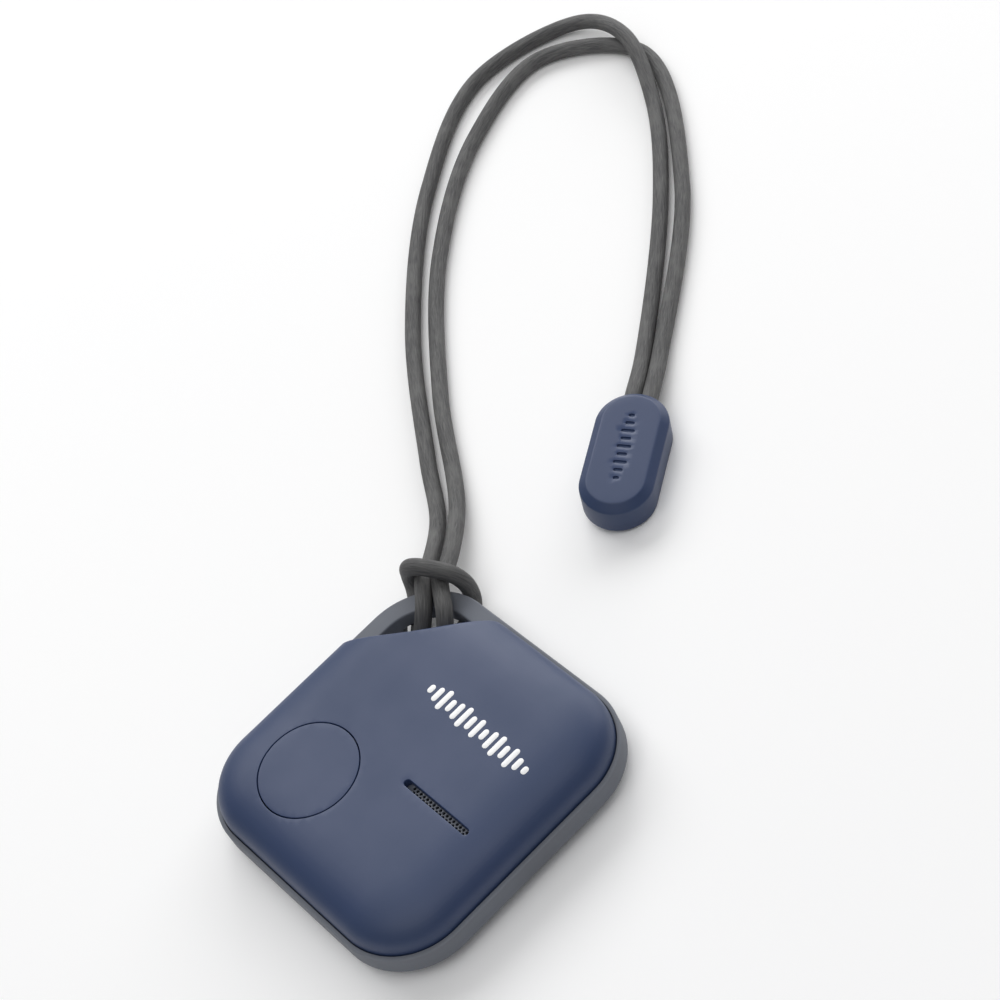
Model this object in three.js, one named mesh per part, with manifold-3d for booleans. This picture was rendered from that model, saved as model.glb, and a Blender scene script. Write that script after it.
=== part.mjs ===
// Bluetooth tracker tag with a doubled lanyard cord and a cord-end bead. Millimetres, +Z up.
// The tag lies on its back with its centre on the Z axis. Its lanyard corner points along +X +Y.
import * as THREE from 'three';
import { mergeVertices } from 'three/addons/utils/BufferGeometryUtils.js';
import Module from 'manifold-3d';

const wasm = await Module();
wasm.setup();

// ---- Driving dimensions -------------------------------------------------------------------

const TAG_SIDE = 38;
const CORNER_RADIUS = 8.8;
const BACK_CROWN_HEIGHT = 1.9;
const BACK_CROWN_INSET = 7;
const RIM_Z = 4.3;
const COVER_CROWN_HEIGHT = 3.85;
const COVER_CROWN_INSET = 5;
const COVER_TOP_Z = RIM_Z + COVER_CROWN_HEIGHT;

const FLOOR_Z = 1.65;
const LEDGE_Z = 3.3;
const SHELL_WALL = 1.9;
const RIM_WIDTH = 0.5;
const PARTING_GAP = 0.1;
const COVER_WALL = 1.1;
const SKIRT_Z = 3.7;

// The cover ends at the lanyard corner along a shallow hollow curve.
const BITE_RADIUS = 40;
const BITE_FROM_CENTRE = 15.35;
const BAR_WIDTH = 2.4;
const BAR_UNDERSIDE_Z = 2.3;

const BUTTON_CENTRE = [-8.36, 6.81];
const BUTTON_RADIUS = 5.85;
const BUTTON_GAP = 0.2;

const SLOT_CENTRE = [-2.5, -8.55];
const SLOT_LENGTH = 10.4;
const SLOT_WIDTH = 0.82;

const CELL_RADIUS = 10;
const CELL_BOTTOM_Z = 1.15;
const CELL_HEIGHT = 3.2;
const DOOR_RADIUS = 12;
const DOOR_FACE_Z = 0.15;
const DOOR_INNER_Z = 1.1;
const COLLAR_RADIUS = 10.9;
const COLLAR_TOP_Z = 2.3;
const LUG_RADIUS = 11.6;
const LUG_COUNT = 3;
const LUG_WIDTH = 4;
const UNLOCK_DEGREES = 30;

const BOARD_BOTTOM_Z = 5;
const BOARD_TOP_Z = 5.6;
const BOARD_SIDE = 31.6;
const SCREW_PLACES = [[-12.4, -12.4], [12.4, -12.4]];

const CORD_DIAMETER = 2;
const CORD_SIDES = 8;
const BEAD_CENTRE = [43.3, 11.73];
const BEAD_DEGREES = 33.6;
const BEAD_TILT_DEGREES = 8.6;
const BEAD_LENGTH = 17.3;
const BEAD_WIDTH = 8.8;
const BEAD_HEIGHT = 4.25;
const BEAD_CHAMFER = 0.95;
const BEAD_CHAMFER_HEIGHT = 0.9;
const BEAD_CORD_Z = 2.15;
const BEAD_CORD_SPACING = 2.05;
const BEAD_BAR_LENGTHS = [0.7, 1.1, 1.6, 1.2, 1.7, 1.2, 1.6, 1.1, 0.7];
const BEAD_BAR_PITCH = 1.12;
const BEAD_BAR_WIDTH = 0.45;
const BEAD_BAR_DEPTH = 0.2;

// ---- Materials ----------------------------------------------------------------------------

const finish = (color, roughness, metalness = 0) => (
  new THREE.MeshStandardMaterial({ color, roughness, metalness })
);
const SHELL_GREY = finish(0x5c5f64, 0.5);
const COVER_BLUE = finish(0x46526c, 0.55);
const CORD_GREY = finish(0x606060, 0.85);
const STEEL = finish(0xb8babd, 0.3, 1);
const SPRING_STEEL = finish(0xd0c89a, 0.3, 1);
const BLACK_PLASTIC = finish(0x1d1f22, 0.6);
const WHITE_PLASTIC = finish(0xd8d8d4, 0.55);
const BLACK_RUBBER = finish(0x161616, 0.8);
const BOARD_GREEN = finish(0x1f4a33, 0.45);
const CERAMIC = finish(0xc9b79a, 0.5);

// ---- Solids -------------------------------------------------------------------------------

function solidOf(geometry) {
  const bare = geometry.clone();
  bare.deleteAttribute('normal');
  bare.deleteAttribute('uv');
  const merged = mergeVertices(bare, 1e-4);
  return new wasm.Manifold(new wasm.Mesh({
    numProp: 3,
    vertProperties: new Float32Array(merged.attributes.position.array),
    triVerts: new Uint32Array(merged.index.array),
  }));
}

function geometryOf(solid) {
  const mesh = solid.getMesh();
  const geometry = new THREE.BufferGeometry();
  geometry.setAttribute('position', new THREE.BufferAttribute(mesh.vertProperties, 3));
  geometry.setIndex(new THREE.BufferAttribute(mesh.triVerts, 1));
  geometry.computeVertexNormals();
  return geometry;
}

// A flat outline pulled up from one height to another.
function slab(shape, lowZ, highZ, curveSegments = 8) {
  const geometry = new THREE.ExtrudeGeometry(shape, {
    depth: highZ - lowZ,
    bevelEnabled: false,
    curveSegments,
  });
  return solidOf(geometry.translate(0, 0, lowZ));
}

// An outline whose top and bottom edges both fall away in a quarter ellipse of the given inset and height.
function crowned(shape, lowZ, highZ, inset, height, bevelSegments, curveSegments = 6) {
  const geometry = new THREE.ExtrudeGeometry(shape, {
    depth: highZ - lowZ - 2 * height,
    bevelEnabled: true,
    bevelSize: inset,
    bevelThickness: height,
    bevelSegments,
    curveSegments,
  });
  return solidOf(geometry.translate(0, 0, lowZ + height));
}

function box(lowX, lowY, lowZ, highX, highY, highZ) {
  const geometry = new THREE.BoxGeometry(highX - lowX, highY - lowY, highZ - lowZ);
  geometry.translate((lowX + highX) / 2, (lowY + highY) / 2, (lowZ + highZ) / 2);
  return solidOf(geometry);
}

function cylinder(radius, lowZ, highZ, [x, y] = [0, 0], segments = 48) {
  const geometry = new THREE.CylinderGeometry(radius, radius, highZ - lowZ, segments);
  geometry.rotateX(Math.PI / 2);
  return solidOf(geometry.translate(x, y, (lowZ + highZ) / 2));
}

function tube(outerRadius, innerRadius, lowZ, highZ, centre = [0, 0], segments = 48) {
  const hole = cylinder(innerRadius, lowZ - 1, highZ + 1, centre, segments);
  return cylinder(outerRadius, lowZ, highZ, centre, segments).subtract(hole);
}

// ---- Outlines -----------------------------------------------------------------------------

function roundedRectangle(width, height, radius) {
  const x = width / 2 - radius;
  const y = height / 2 - radius;
  const shape = new THREE.Shape();
  shape.absarc(x, y, radius, 0, Math.PI / 2);
  shape.absarc(-x, y, radius, Math.PI / 2, Math.PI);
  shape.absarc(-x, -y, radius, Math.PI, 1.5 * Math.PI);
  shape.absarc(x, -y, radius, 1.5 * Math.PI, 2 * Math.PI);
  return shape;
}

// The tag's own outline, moved inwards by an inset.
function tagOutline(inset) {
  const side = TAG_SIDE - 2 * inset;
  return roundedRectangle(side, side, CORNER_RADIUS - inset);
}

function stadium(length, width) {
  const straight = (length - width) / 2;
  const shape = new THREE.Shape();
  shape.absarc(straight, 0, width / 2, -Math.PI / 2, Math.PI / 2);
  shape.absarc(-straight, 0, width / 2, Math.PI / 2, 1.5 * Math.PI);
  return shape;
}

// A cylinder at the lanyard corner. Radius BITE_RADIUS is the cover's cut edge.
function bite(radius) {
  const centre = (BITE_FROM_CENTRE + BITE_RADIUS) / Math.SQRT2;
  return cylinder(radius, -5, 15, [centre, centre], 128);
}

// ---- Rear shell ---------------------------------------------------------------------------

function doorOpening() {
  const notchHalf = LUG_WIDTH / 2 + 0.5;
  let opening = cylinder(DOOR_RADIUS + 0.2, -1, 1.25);
  opening = opening.add(cylinder(COLLAR_RADIUS + 0.2, 0, 3));
  for (let i = 0; i < LUG_COUNT; i += 1) {
    const turn = (360 / LUG_COUNT) * i - UNLOCK_DEGREES;
    const notch = box(COLLAR_RADIUS - 1, -notchHalf, 1, LUG_RADIUS + 0.25, notchHalf, 3);
    opening = opening.add(notch.rotate([0, 0, turn]));
  }
  return opening;
}

// The cord passes under the bar here, so the tag still lies flat.
function cordRelief() {
  const underBar = box(16, -6.7, -1, 30, 3.5, BAR_UNDERSIDE_Z).rotate([0, 0, 45]);
  return underBar.intersect(bite(BITE_RADIUS - 0.1));
}

function rearShell() {
  const flatBack = tagOutline(BACK_CROWN_INSET);
  const block = crowned(flatBack, 0, 12, BACK_CROWN_INSET, BACK_CROWN_HEIGHT, 6);
  const outer = block.intersect(box(-30, -30, -1, 30, 30, RIM_Z));
  const cavity = slab(tagOutline(SHELL_WALL), FLOOR_Z, RIM_Z + 1).subtract(bite(BITE_RADIUS + 1.6));
  const lipSeat = slab(tagOutline(RIM_WIDTH), LEDGE_Z, RIM_Z + 1).subtract(bite(BITE_RADIUS - PARTING_GAP));
  const eye = slab(tagOutline(BAR_WIDTH), -1, RIM_Z + 1).intersect(bite(BITE_RADIUS));
  return outer
    .subtract(cavity)
    .subtract(lipSeat)
    .subtract(eye)
    .subtract(cordRelief())
    .subtract(doorOpening());
}

// ---- Front cover and what fills its openings ------------------------------------------------

function coverBlock() {
  const flatTop = tagOutline(RIM_WIDTH + PARTING_GAP + COVER_CROWN_INSET);
  const block = crowned(flatTop, -4, COVER_TOP_Z, COVER_CROWN_INSET, COVER_CROWN_HEIGHT, 8);
  return block.subtract(bite(BITE_RADIUS));
}

function coverHollow() {
  const inset = 4.6;
  const height = 3.35;
  const flatTop = tagOutline(RIM_WIDTH + PARTING_GAP + COVER_WALL + inset);
  const block = crowned(flatTop, -4, COVER_TOP_Z - COVER_WALL, inset, height, 6);
  return block.subtract(bite(BITE_RADIUS + COVER_WALL));
}

function frontCover() {
  const [slotX, slotY] = SLOT_CENTRE;
  const slot = slab(stadium(SLOT_LENGTH, SLOT_WIDTH), 6, 10, 4).rotate([0, 0, 90]);
  const meshSeat = slab(stadium(12.2, 3.2), 5, COVER_TOP_Z - COVER_WALL, 4).rotate([0, 0, 90]);
  return coverBlock()
    .subtract(box(-30, -30, -10, 30, 30, SKIRT_Z))
    .subtract(coverHollow())
    .subtract(cylinder(BUTTON_RADIUS + BUTTON_GAP, 5, 10, BUTTON_CENTRE))
    .subtract(slot.translate([slotX, slotY, 0]))
    .subtract(meshSeat.translate([slotX, slotY, 0]));
}

function buttonCap() {
  const [x, y] = BUTTON_CENTRE;
  const tabDegrees = [0, 80, -80];
  let cap = coverBlock().intersect(cylinder(BUTTON_RADIUS, 7, 10, BUTTON_CENTRE));
  cap = cap.add(tube(BUTTON_RADIUS, 5, 6.55, 7.2, BUTTON_CENTRE));
  cap = cap.add(cylinder(1, 6.8, 7.2, BUTTON_CENTRE, 24));
  for (const degrees of tabDegrees) {
    const tab = box(5.3, -1, 6.55, 6.5, 1, 6.8).rotate([0, 0, degrees]);
    cap = cap.add(tab.translate([x, y, 0]));
  }
  return cap;
}

// A row of holes in line with the slot, and a second, staggered row beside it.
function speakerMesh() {
  const holesInRow = 17;
  const pitch = 0.55;
  const rowSpacing = 0.42;
  const holeRadius = 0.17;
  const plate = stadium(11.8, 2.8);
  for (const [row, count] of [[-0.5, holesInRow], [0.5, holesInRow - 1]]) {
    for (let i = 0; i < count; i += 1) {
      const hole = new THREE.Path();
      hole.absarc((i - (count - 1) / 2) * pitch, row * rowSpacing, holeRadius, 0, 2 * Math.PI, true);
      plate.holes.push(hole);
    }
  }
  return slab(plate, 6.83, 7, 3).rotate([0, 0, 90]).translate([...SLOT_CENTRE, 0]);
}

function coverGasket() {
  const outside = slab(tagOutline(1), LEDGE_Z + 0.05, SKIRT_Z - 0.08).subtract(bite(BITE_RADIUS + 0.2));
  const inside = slab(tagOutline(1.75), LEDGE_Z - 1, SKIRT_Z + 1).subtract(bite(BITE_RADIUS + 1));
  return outside.subtract(inside);
}

// ---- Battery bay --------------------------------------------------------------------------

function batteryDoor() {
  const plate = cylinder(DOOR_RADIUS, DOOR_FACE_Z, DOOR_INNER_Z);
  const sealGroove = tube(11.8, 11.2, 0.75, DOOR_INNER_Z + 1);
  const coinSlot = slab(stadium(9.5, 1.7), -1, 0.6, 6);
  let door = plate.subtract(sealGroove).subtract(coinSlot);
  door = door.add(tube(COLLAR_RADIUS, 10.3, DOOR_INNER_Z - 0.1, COLLAR_TOP_Z));
  for (let i = 0; i < LUG_COUNT; i += 1) {
    const lug = box(10.6, -LUG_WIDTH / 2, 1.8, LUG_RADIUS, LUG_WIDTH / 2, 2.25);
    door = door.add(lug.rotate([0, 0, (360 / LUG_COUNT) * i]));
  }
  return door;
}

function doorSeal() {
  const sectionRadius = 0.2;
  const section = [];
  const sides = 8;
  for (let i = 0; i <= sides; i += 1) {
    const angle = (2 * Math.PI * (i % sides)) / sides;
    section.push(new THREE.Vector2(
      11.5 + sectionRadius * Math.cos(angle),
      sectionRadius * Math.sin(angle),
    ));
  }
  const geometry = new THREE.LatheGeometry(section, 48);
  geometry.rotateX(Math.PI / 2);
  return solidOf(geometry.translate(0, 0, 1));
}

function coinCell() {
  const top = CELL_HEIGHT;
  const profile = [
    [0, 0], [9.8, 0], [CELL_RADIUS, 0.2], [CELL_RADIUS, top - 0.4], [9.6, top - 0.25],
    [8.9, top - 0.25], [8.7, top], [0, top],
  ];
  const geometry = new THREE.LatheGeometry(profile.map(([r, z]) => new THREE.Vector2(r, z)), 48);
  geometry.rotateX(Math.PI / 2);
  return solidOf(geometry.translate(0, 0, CELL_BOTTOM_Z));
}

// A leaf soldered under the board, with one finger bent down to the cell.
function cellContactTop() {
  const outline = new THREE.Shape();
  const points = [
    [-4.5, 4.95], [-4.5, 4.8], [0.2, 4.8], [-2.9, 4.52], [-2.6, 4.4], [1.6, 4.8], [4.5, 4.8], [4.5, 4.95],
  ];
  outline.setFromPoints(points.map(([x, z]) => new THREE.Vector2(x, z)));
  const leaf = new THREE.ExtrudeGeometry(outline, { depth: 3, bevelEnabled: false });
  leaf.rotateX(Math.PI / 2);
  return solidOf(leaf.translate(0, 1.5, 0));
}

function cellContactSide() {
  const wedge = box(-2.2, -13, 2.5, 2.2, -9, 4.9);
  const wall = tube(10.3, 10.1, 2.5, 4.9).intersect(wedge);
  const foot = box(-2, -11.8, 4.75, 2, -10.15, 4.9);
  return wall.add(foot);
}

// ---- Chassis and board ----------------------------------------------------------------------

function innerFrame() {
  const lowZ = FLOOR_Z + 0.1;
  const highZ = BOARD_BOTTOM_Z - 0.05;
  const edge = 2.5;
  const wall = 1;
  let frame = slab(tagOutline(edge), lowZ, highZ);
  let pocket = slab(tagOutline(edge + wall), lowZ - 1, highZ + 1).subtract(bite(BITE_RADIUS + 3.1));
  pocket = pocket.subtract(cylinder(13.1, 0, 8));
  pocket = pocket.subtract(box(-20, -0.7, 0, 20, 0.7, 8)).subtract(box(-0.7, -20, 0, 0.7, 20, 8));
  for (const degrees of [-45, -135]) {
    pocket = pocket.subtract(box(12, -0.6, 0, 24, 0.6, 8).rotate([0, 0, degrees]));
  }
  frame = frame.subtract(bite(BITE_RADIUS + 2.1)).subtract(pocket);
  for (const place of SCREW_PLACES) {
    frame = frame.add(cylinder(1.6, lowZ, highZ, place, 24));
    frame = frame.subtract(cylinder(0.75, 2.4, 8, place, 24));
  }
  return frame.subtract(cylinder(12.1, 0, 8));
}

function circuitBoard() {
  const outline = roundedRectangle(BOARD_SIDE, BOARD_SIDE, 5.8);
  let board = slab(outline, BOARD_BOTTOM_Z, BOARD_TOP_Z).subtract(bite(BITE_RADIUS + 2.2));
  for (const place of SCREW_PLACES) {
    board = board.subtract(cylinder(0.8, 4, 7, place, 24));
  }
  return board;
}

function boardScrew(place) {
  const head = cylinder(1.15, BOARD_TOP_Z + 0.05, 6.2, place, 24);
  const shank = cylinder(0.6, 2.8, 6, place, 16);
  const blade = box(-0.7, -0.13, 5.95, 0.7, 0.13, 7);
  const cross = blade.add(blade.rotate([0, 0, 90])).translate([...place, 0]);
  return head.add(shank).subtract(cross);
}

// A plain component soldered on the board.
function boardPart([x, y], width, depth, height) {
  const low = BOARD_TOP_Z + 0.02;
  return box(x - width / 2, y - depth / 2, low, x + width / 2, y + depth / 2, low + height);
}

function switchBody() {
  const well = cylinder(0.95, 5.75, 8, BUTTON_CENTRE, 24);
  return boardPart(BUTTON_CENTRE, 5.2, 5.2, 0.78).subtract(well);
}

function switchPlunger() {
  return cylinder(0.8, 6.15, 6.75, BUTTON_CENTRE, 24);
}

function sounder() {
  const can = slab(roundedRectangle(4.6, 12, 0.8), BOARD_TOP_Z + 0.05, 6.45, 3);
  const port = slab(roundedRectangle(1.4, 9.6, 0.5), 6.3, 8, 3);
  return can.subtract(port).translate([...SLOT_CENTRE, 0]);
}

function sounderGasket() {
  const foam = slab(roundedRectangle(2.9, 11.6, 1.2), 6.5, 6.78, 3);
  const window = slab(roundedRectangle(1.6, 10, 0.6), 6, 8, 3);
  return foam.subtract(window).translate([...SLOT_CENTRE, 0]);
}

// ---- Bead on the cord's two ends, built along X with its mouth at +X --------------------------
// The cord holds it with one long bottom edge on the ground and the other a little off it.

function beadBody() {
  const top = stadium(BEAD_LENGTH - 2 * BEAD_CHAMFER, BEAD_WIDTH - 2 * BEAD_CHAMFER);
  const block = crowned(top, -4, BEAD_HEIGHT, BEAD_CHAMFER, BEAD_CHAMFER_HEIGHT, 1, 9);
  const channelHalf = BEAD_CORD_SPACING / 2 + CORD_DIAMETER / 2 + 0.2;
  const channelLow = BEAD_CORD_Z - CORD_DIAMETER / 2 - 0.2;
  const channelHigh = BEAD_CORD_Z + CORD_DIAMETER / 2 + 0.2;
  const barHalf = BEAD_BAR_WIDTH / 2;
  const barLow = BEAD_HEIGHT - BEAD_BAR_DEPTH;
  let body = block
    .subtract(box(-20, -20, -10, 20, 20, 0))
    .subtract(box(-3, -3, -1, 4.6, 3, 3.75))
    .subtract(box(4, -channelHalf, channelLow, 12, channelHalf, channelHigh));
  const middle = (BEAD_BAR_LENGTHS.length - 1) / 2;
  BEAD_BAR_LENGTHS.forEach((length, i) => {
    const bar = box(-barHalf, -length / 2, barLow, barHalf, length / 2, 6);
    body = body.subtract(bar.translate([(i - middle) * BEAD_BAR_PITCH + 0.35, 0, 0]));
  });
  return body;
}

function beadBase() {
  return box(-2.8, -2.8, 0.05, 4.4, 2.8, 0.7);
}

function cordCrimp() {
  const sleeve = stadium(5.4, 2.9);
  sleeve.holes.push(stadium(BEAD_CORD_SPACING + CORD_DIAMETER + 0.45, CORD_DIAMETER + 0.45));
  const geometry = new THREE.ExtrudeGeometry(sleeve, { depth: 3.6, bevelEnabled: false, curveSegments: 6 });
  geometry.rotateX(Math.PI / 2);
  geometry.rotateZ(Math.PI / 2);
  return solidOf(geometry.translate(0.8, 0, BEAD_CORD_Z));
}

// ---- Lanyard cord ---------------------------------------------------------------------------

// One cord from the bead, round the loop, through the hitch on the corner bar and back to the bead.
const CORD_ROUTE = [
  // out of the bead and round the right and the top of the loop, over the other strand
  [45.58, 14.04, 2.96], [50.36, 17.26, 2.96], [56.2, 22.01, 1.54], [75.6, 38.8, 1.15],
  [87.2, 51.9, 1.65], [92.8, 62.6, 3.4], [92.2, 72.4, 1.35], [78, 77.4, 1.05], [60.5, 68.2, 1.05],
  [43, 51.4, 1.1], [29.95, 33.46, 1.2], [24.67, 25.47, 1.34],
  // up onto the bar, down through the eye and out under the bar
  [18.03, 18.48, 4.23], [17.04, 17.46, 5.1], [14.31, 14.09, 5.48], [12.52, 13.56, 3.26],
  [12.42, 14.81, 1.57], [14.01, 16.9, 1.02], [16.2, 19.75, 2.17],
  // up the outside, over both strands and down again
  [16.68, 20.27, 3.8], [16.65, 18.38, 7.18], [17.49, 15.99, 8.03], [19.21, 13.6, 6.5],
  [19.88, 13.38, 2.55], [18.83, 12.5, 1.15],
  // under the bar, up through the eye and away over the bar
  [14.83, 10.73, 1.82], [14.08, 10.52, 4.06], [15.35, 11.36, 5.9], [18.35, 15.83, 5.23],
  [19.6, 16.82, 4.28],
  // back round the loop, under the other strand, into the bead
  [27.09, 24.36, 1.84], [37.97, 40.24, 1.1], [53, 57.4, 1.08], [70, 69.3, 1.05],
  [84.9, 72.3, 1.05], [93.1, 60.6, 1.05], [79, 38.3, 1.15], [57.4, 20.34, 1.41],
  [51.44, 15.54, 2.64], [46.73, 12.36, 2.64],
];

// Steps follow the route's own points, so they are short in the hitch and long in the loop.
class CordCurve extends THREE.CatmullRomCurve3 {
  getPointAt(u, target) {
    return this.getPoint(u, target);
  }

  getTangentAt(u, target) {
    return this.getTangent(u, target);
  }
}

function lanyardCord() {
  const path = new CordCurve(CORD_ROUTE.map((point) => new THREE.Vector3(...point)));
  const section = new THREE.Shape();
  for (let i = 0; i < CORD_SIDES; i += 1) {
    const angle = (2 * Math.PI * i) / CORD_SIDES;
    const x = (CORD_DIAMETER / 2) * Math.cos(angle);
    const y = (CORD_DIAMETER / 2) * Math.sin(angle);
    if (i === 0) {
      section.moveTo(x, y);
    } else {
      section.lineTo(x, y);
    }
  }
  const steps = 2 * (CORD_ROUTE.length - 1);
  const geometry = new THREE.ExtrudeGeometry(section, { steps, extrudePath: path });
  return solidOf(geometry);
}

// ---- Assembly -------------------------------------------------------------------------------

function addPiece(group, name, solid, material) {
  const mesh = new THREE.Mesh(geometryOf(solid), material);
  mesh.name = name;
  group.add(mesh);
}

function tagGroup() {
  const tag = new THREE.Group();
  addPiece(tag, 'rear_shell', rearShell(), SHELL_GREY);
  addPiece(tag, 'front_cover', frontCover(), COVER_BLUE);
  addPiece(tag, 'cover_gasket', coverGasket(), BLACK_RUBBER);
  addPiece(tag, 'button_cap', buttonCap(), COVER_BLUE);
  addPiece(tag, 'switch_body', switchBody(), BLACK_PLASTIC);
  addPiece(tag, 'switch_plunger', switchPlunger(), WHITE_PLASTIC);
  addPiece(tag, 'speaker_mesh', speakerMesh(), STEEL);
  addPiece(tag, 'sounder_gasket', sounderGasket(), BLACK_RUBBER);
  addPiece(tag, 'sounder', sounder(), STEEL);
  addPiece(tag, 'battery_door', batteryDoor(), SHELL_GREY);
  addPiece(tag, 'door_seal', doorSeal(), BLACK_RUBBER);
  addPiece(tag, 'coin_cell', coinCell(), STEEL);
  addPiece(tag, 'cell_contact_top', cellContactTop(), SPRING_STEEL);
  addPiece(tag, 'cell_contact_side', cellContactSide(), SPRING_STEEL);
  addPiece(tag, 'inner_frame', innerFrame(), BLACK_PLASTIC);
  addPiece(tag, 'circuit_board', circuitBoard(), BOARD_GREEN);
  addPiece(tag, 'radio_chip', boardPart([4.5, 4.5], 5, 5, 0.8), BLACK_PLASTIC);
  addPiece(tag, 'radio_crystal', boardPart([9.3, 2.4], 2.5, 2, 0.6), STEEL);
  addPiece(tag, 'chip_antenna', boardPart([11.8, -4], 2, 7, 0.9), WHITE_PLASTIC);
  addPiece(tag, 'power_inductor', boardPart([4.2, -3], 2.6, 2.6, 1), BLACK_PLASTIC);
  const capacitorPlaces = [[1, 1.2], [1, -0.6], [8.2, -1.4], [8.2, -3.4]];
  capacitorPlaces.forEach((place, i) => {
    addPiece(tag, `capacitor_${i + 1}`, boardPart(place, 1.2, 0.7, 0.6), CERAMIC);
  });
  SCREW_PLACES.forEach((place, i) => {
    addPiece(tag, `board_screw_${i + 1}`, boardScrew(place), STEEL);
  });
  return tag;
}

function beadGroup() {
  const bead = new THREE.Group();
  addPiece(bead, 'bead_body', beadBody(), COVER_BLUE);
  addPiece(bead, 'bead_base', beadBase(), COVER_BLUE);
  addPiece(bead, 'cord_crimp', cordCrimp(), STEEL);
  const tilt = THREE.MathUtils.degToRad(BEAD_TILT_DEGREES);
  bead.position.set(...BEAD_CENTRE, (BEAD_WIDTH / 2) * Math.sin(tilt));
  bead.rotation.set(tilt, 0, THREE.MathUtils.degToRad(BEAD_DEGREES), 'ZYX');
  return bead;
}

const group = new THREE.Group();
group.add(tagGroup());
group.add(beadGroup());
addPiece(group, 'lanyard_cord', lanyardCord(), CORD_GREY);

export default group;
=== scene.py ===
"""Bluetooth tracker tag with a doubled lanyard cord and a bead on the cord's ends.

The pieces are worked out in millimetres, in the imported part's frame, and made in metres.
"""

import math

import bmesh
import bpy
import numpy as np
from mathutils import Matrix, Vector
from mathutils.geometry import delaunay_2d_cdt


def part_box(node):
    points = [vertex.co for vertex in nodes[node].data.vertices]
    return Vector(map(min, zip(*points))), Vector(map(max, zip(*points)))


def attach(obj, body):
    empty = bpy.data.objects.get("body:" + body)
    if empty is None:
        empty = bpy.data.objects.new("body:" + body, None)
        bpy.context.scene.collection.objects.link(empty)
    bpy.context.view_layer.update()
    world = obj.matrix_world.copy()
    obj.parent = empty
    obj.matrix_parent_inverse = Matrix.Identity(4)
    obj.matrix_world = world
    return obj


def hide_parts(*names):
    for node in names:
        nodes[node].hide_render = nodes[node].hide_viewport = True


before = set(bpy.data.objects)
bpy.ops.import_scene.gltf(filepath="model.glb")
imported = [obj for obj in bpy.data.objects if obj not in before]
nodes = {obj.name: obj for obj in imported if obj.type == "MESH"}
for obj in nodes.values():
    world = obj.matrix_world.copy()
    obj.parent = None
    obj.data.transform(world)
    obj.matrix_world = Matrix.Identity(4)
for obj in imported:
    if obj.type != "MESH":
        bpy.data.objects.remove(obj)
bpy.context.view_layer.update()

MM = 0.001

# ---- Camera ---------------------------------------------------------------------------------

CAMERA_PLACE = (-0.04056, -0.16775, 0.22886)
CAMERA_FORWARD = (0.2357, 0.6210, -0.7476)
CAMERA_UP = (0.6707, 0.4528, 0.5876)
CAMERA_LENS = 93.87


def add_camera():
    data = bpy.data.cameras.new("camera")
    data.sensor_width = 36
    data.lens = CAMERA_LENS
    data.clip_start = 0.01
    data.clip_end = 20
    camera = bpy.data.objects.new("camera", data)
    back = -Vector(CAMERA_FORWARD).normalized()
    right = Vector(CAMERA_UP).cross(back).normalized()
    up = back.cross(right)
    turn = Matrix((right, up, back)).transposed().to_4x4()
    camera.matrix_world = Matrix.Translation(CAMERA_PLACE) @ turn
    bpy.context.scene.collection.objects.link(camera)
    bpy.context.scene.camera = camera


add_camera()

# ---- Material nodes ---------------------------------------------------------------------------


def linear(red, green, blue):
    """A colour given as 0 to 255 values on screen, as the shader needs it."""
    def channel(value):
        value /= 255
        return value / 12.92 if value <= 0.04045 else ((value + 0.055) / 1.055) ** 2.4

    return (channel(red), channel(green), channel(blue), 1)


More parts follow.
